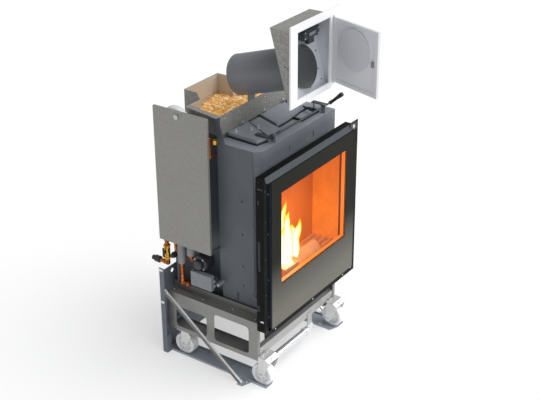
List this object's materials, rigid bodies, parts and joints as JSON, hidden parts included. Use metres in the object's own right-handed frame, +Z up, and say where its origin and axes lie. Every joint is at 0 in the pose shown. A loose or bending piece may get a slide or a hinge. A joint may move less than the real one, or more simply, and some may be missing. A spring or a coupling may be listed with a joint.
{
  "type": "fireplace insert",
  "caption": "Pellet-fired fireplace insert with a glass door, pulled out on a wheeled trolley, with a hopper, a tilted filling chute and a wall hatch above it.",
  "frame": {"origin": "on the floor, in the centre of the four floor bolt holes of the base", "axes": "+X to the right seen from the door side, +Y to the rear, +Z up"},
  "size_m": [0.863, 1.0692, 1.853],
  "materials": {
    "rail_paint": "satin blue-grey powder coat",
    "post_paint": "satin dark grey powder coat",
    "bright_zinc": "bright zinc plating",
    "white_plastic": "matt white",
    "warm_steel": "cold-rolled sheet with a warm grey cast",
    "polished_tube": "polished",
    "nylon": "translucent white nylon",
    "grey_paint": "satin mid grey powder coat",
    "dark_paint": "satin dark grey powder coat",
    "galvanised": "galvanised sheet, fine spangle",
    "black_steel": "satin black",
    "grip_plastic": "moulded dark grip",
    "bare_steel": "bare steel",
    "boiler_steel": "primed steel",
    "fire_steel": "heat-tinted steel lit by the fire",
    "fire_casting": "cast iron lit by the fire",
    "black_frame": "semi-gloss black",
    "trim_metal": "light satin trim",
    "door_steel": "black enamel behind the glass",
    "door_glass": "tinted heat-proof glass",
    "gasket": "woven sealing rope",
    "tube_paint": "satin dark grey",
    "white_paint": "satin white powder coat",
    "lilac_paint": "satin pale grey",
    "module_plastic": "dark moulded housing",
    "black_plastic": "moulded black",
    "vessel_paint": "pale grey enamel",
    "pump_casting": "painted dark grey",
    "box_plastic": "light grey moulded housing",
    "cable_rubber": "black sheathing",
    "sleeve_plastic": "grey foam sleeve",
    "copper": "plain copper",
    "brass": "machined brass"
  },
  "bodies": {
    "base": {"floor_rails": "rail_paint", "rear_posts": "post_paint", "rear_crossbar": "post_paint", "brace_struts": "bright_zinc", "post_clips": "white_plastic"},
    "carriage": {"side_frames": "warm_steel", "front_beam": "warm_steel", "cross_tube": "polished_tube", "wheel_forks": "bright_zinc", "axle_pins": "bright_zinc", "fasteners": "bright_zinc", "base_tray": "grey_paint", "left_panel": "dark_paint", "right_panel": "dark_paint", "front_panel": "grey_paint", "top_plate": "grey_paint", "bay_wall": "dark_paint", "rear_cover": "galvanised", "deck_covers": "dark_paint", "deck_clips": "bright_zinc", "boiler_tank": "boiler_steel", "firebox_liner": "fire_steel", "hearth_casting": "fire_casting", "ash_drawer": "black_steel", "front_frame": "black_frame", "frame_trim": "trim_metal", "hinge_blocks": "black_frame", "hopper": "galvanised", "hopper_mesh": "bare_steel", "auger_tube": "bare_steel", "auger_motor": "black_steel", "fan_housing": "galvanised", "chute_tube": "tube_paint", "hatch_box": "galvanised", "hatch_frame": "white_paint", "control_module": "module_plastic", "expansion_vessel": "vessel_paint", "circulation_pump": "pump_casting", "terminal_box": "box_plastic", "cables": "cable_rubber", "pipe_sleeves": "sleeve_plastic", "copper_pipes": "copper", "brass_fittings": "brass"},
    "door": {"door_shell": "door_steel", "door_glass": "door_glass", "door_gasket": "gasket"},
    "hatch_lid": {"hatch_door": "white_paint", "hatch_disc": "lilac_paint"},
    "cleaning_lever_body": {"cleaning_lever": "black_steel", "lever_grip": "grip_plastic"},
    "turbulator_set": {"turbulators": "bare_steel"},
    "service_panel_body": {"service_panel": "galvanised"},
    "latch": {"panel_latch": "black_plastic"},
    "auger": {"auger_screw": "bare_steel"},
    "impeller": {"fan_impeller": "bare_steel"},
    "pot": {"burn_pot": "fire_casting"},
    "wheel_front_left": {"front_left_wheel": "nylon"},
    "wheel_front_right": {"front_right_wheel": "nylon"},
    "wheel_rear_left": {"rear_left_wheel": "nylon"},
    "wheel_rear_right": {"rear_right_wheel": "nylon"}
  },
  "joints": [
    {"name": "carriage_slide", "type": "slide", "parent": "base", "child": "carriage", "axis": [0, -1, 0], "range_m": [0, 0.4]},
    {"name": "wheel_front_left_spin", "type": "hinge", "parent": "carriage", "child": "wheel_front_left", "pos_m": [0, -0.315, 0.063], "axis": [1, 0, 0], "range_deg": [-10, 400]},
    {"name": "wheel_front_right_spin", "type": "hinge", "parent": "carriage", "child": "wheel_front_right", "pos_m": [0, -0.315, 0.063], "axis": [1, 0, 0], "range_deg": [-10, 400]},
    {"name": "wheel_rear_left_spin", "type": "hinge", "parent": "carriage", "child": "wheel_rear_left", "pos_m": [0, 0.18, 0.063], "axis": [1, 0, 0], "range_deg": [-10, 400]},
    {"name": "wheel_rear_right_spin", "type": "hinge", "parent": "carriage", "child": "wheel_rear_right", "pos_m": [0, 0.18, 0.063], "axis": [1, 0, 0], "range_deg": [-10, 400]},
    {"name": "door_hinge", "type": "hinge", "parent": "carriage", "child": "door", "pos_m": [0.393, -0.365, 0.75], "axis": [0, 0, 1], "range_deg": [0, 100]},
    {"name": "hatch_hinge", "type": "hinge", "parent": "carriage", "child": "hatch_lid", "pos_m": [0.164, -0.386, 1.65], "axis": [0, 0, 1], "range_deg": [-73.6, 30]},
    {"name": "lever_pivot", "type": "hinge", "parent": "carriage", "child": "cleaning_lever_body", "pos_m": [0, -0.245, 1.279], "axis": [1, 0, 0], "range_deg": [0, 35]},
    {"name": "turbulator_lift", "type": "slide", "parent": "carriage", "child": "turbulator_set", "axis": [0, 0, 1], "range_m": [0, 0.0427]},
    {"name": "service_panel_hinge", "type": "hinge", "parent": "carriage", "child": "service_panel_body", "pos_m": [-0.355, 0.14, 0.666], "axis": [0, -1, 0], "range_deg": [0, 80]},
    {"name": "latch_turn", "type": "hinge", "parent": "service_panel_body", "child": "latch", "pos_m": [-0.36, 0.158, 1.36], "axis": [1, 0, 0], "range_deg": [0, 90]},
    {"name": "auger_spin", "type": "hinge", "parent": "carriage", "child": "auger", "pos_m": [-0.081, 0.19, 0.89], "axis": [0, -0.788, 0.6157], "continuous": true},
    {"name": "impeller_spin", "type": "hinge", "parent": "carriage", "child": "impeller", "pos_m": [0.262, 0.02, 0.64], "axis": [0, 1, 0], "continuous": true},
    {"name": "pot_lift", "type": "slide", "parent": "carriage", "child": "pot", "axis": [0, 0, 1], "range_m": [0, 0.05]}
  ],
  "couplings": [
    {"joint": "wheel_front_left_spin", "follows": "carriage_slide", "rad_per_m": 16.75},
    {"joint": "wheel_front_right_spin", "follows": "carriage_slide", "rad_per_m": 16.75},
    {"joint": "wheel_rear_left_spin", "follows": "carriage_slide", "rad_per_m": 16.75},
    {"joint": "wheel_rear_right_spin", "follows": "carriage_slide", "rad_per_m": 16.75},
    {"joint": "lever_pivot", "follows": "turbulator_lift", "rad_per_m": 14.286}
  ]
}
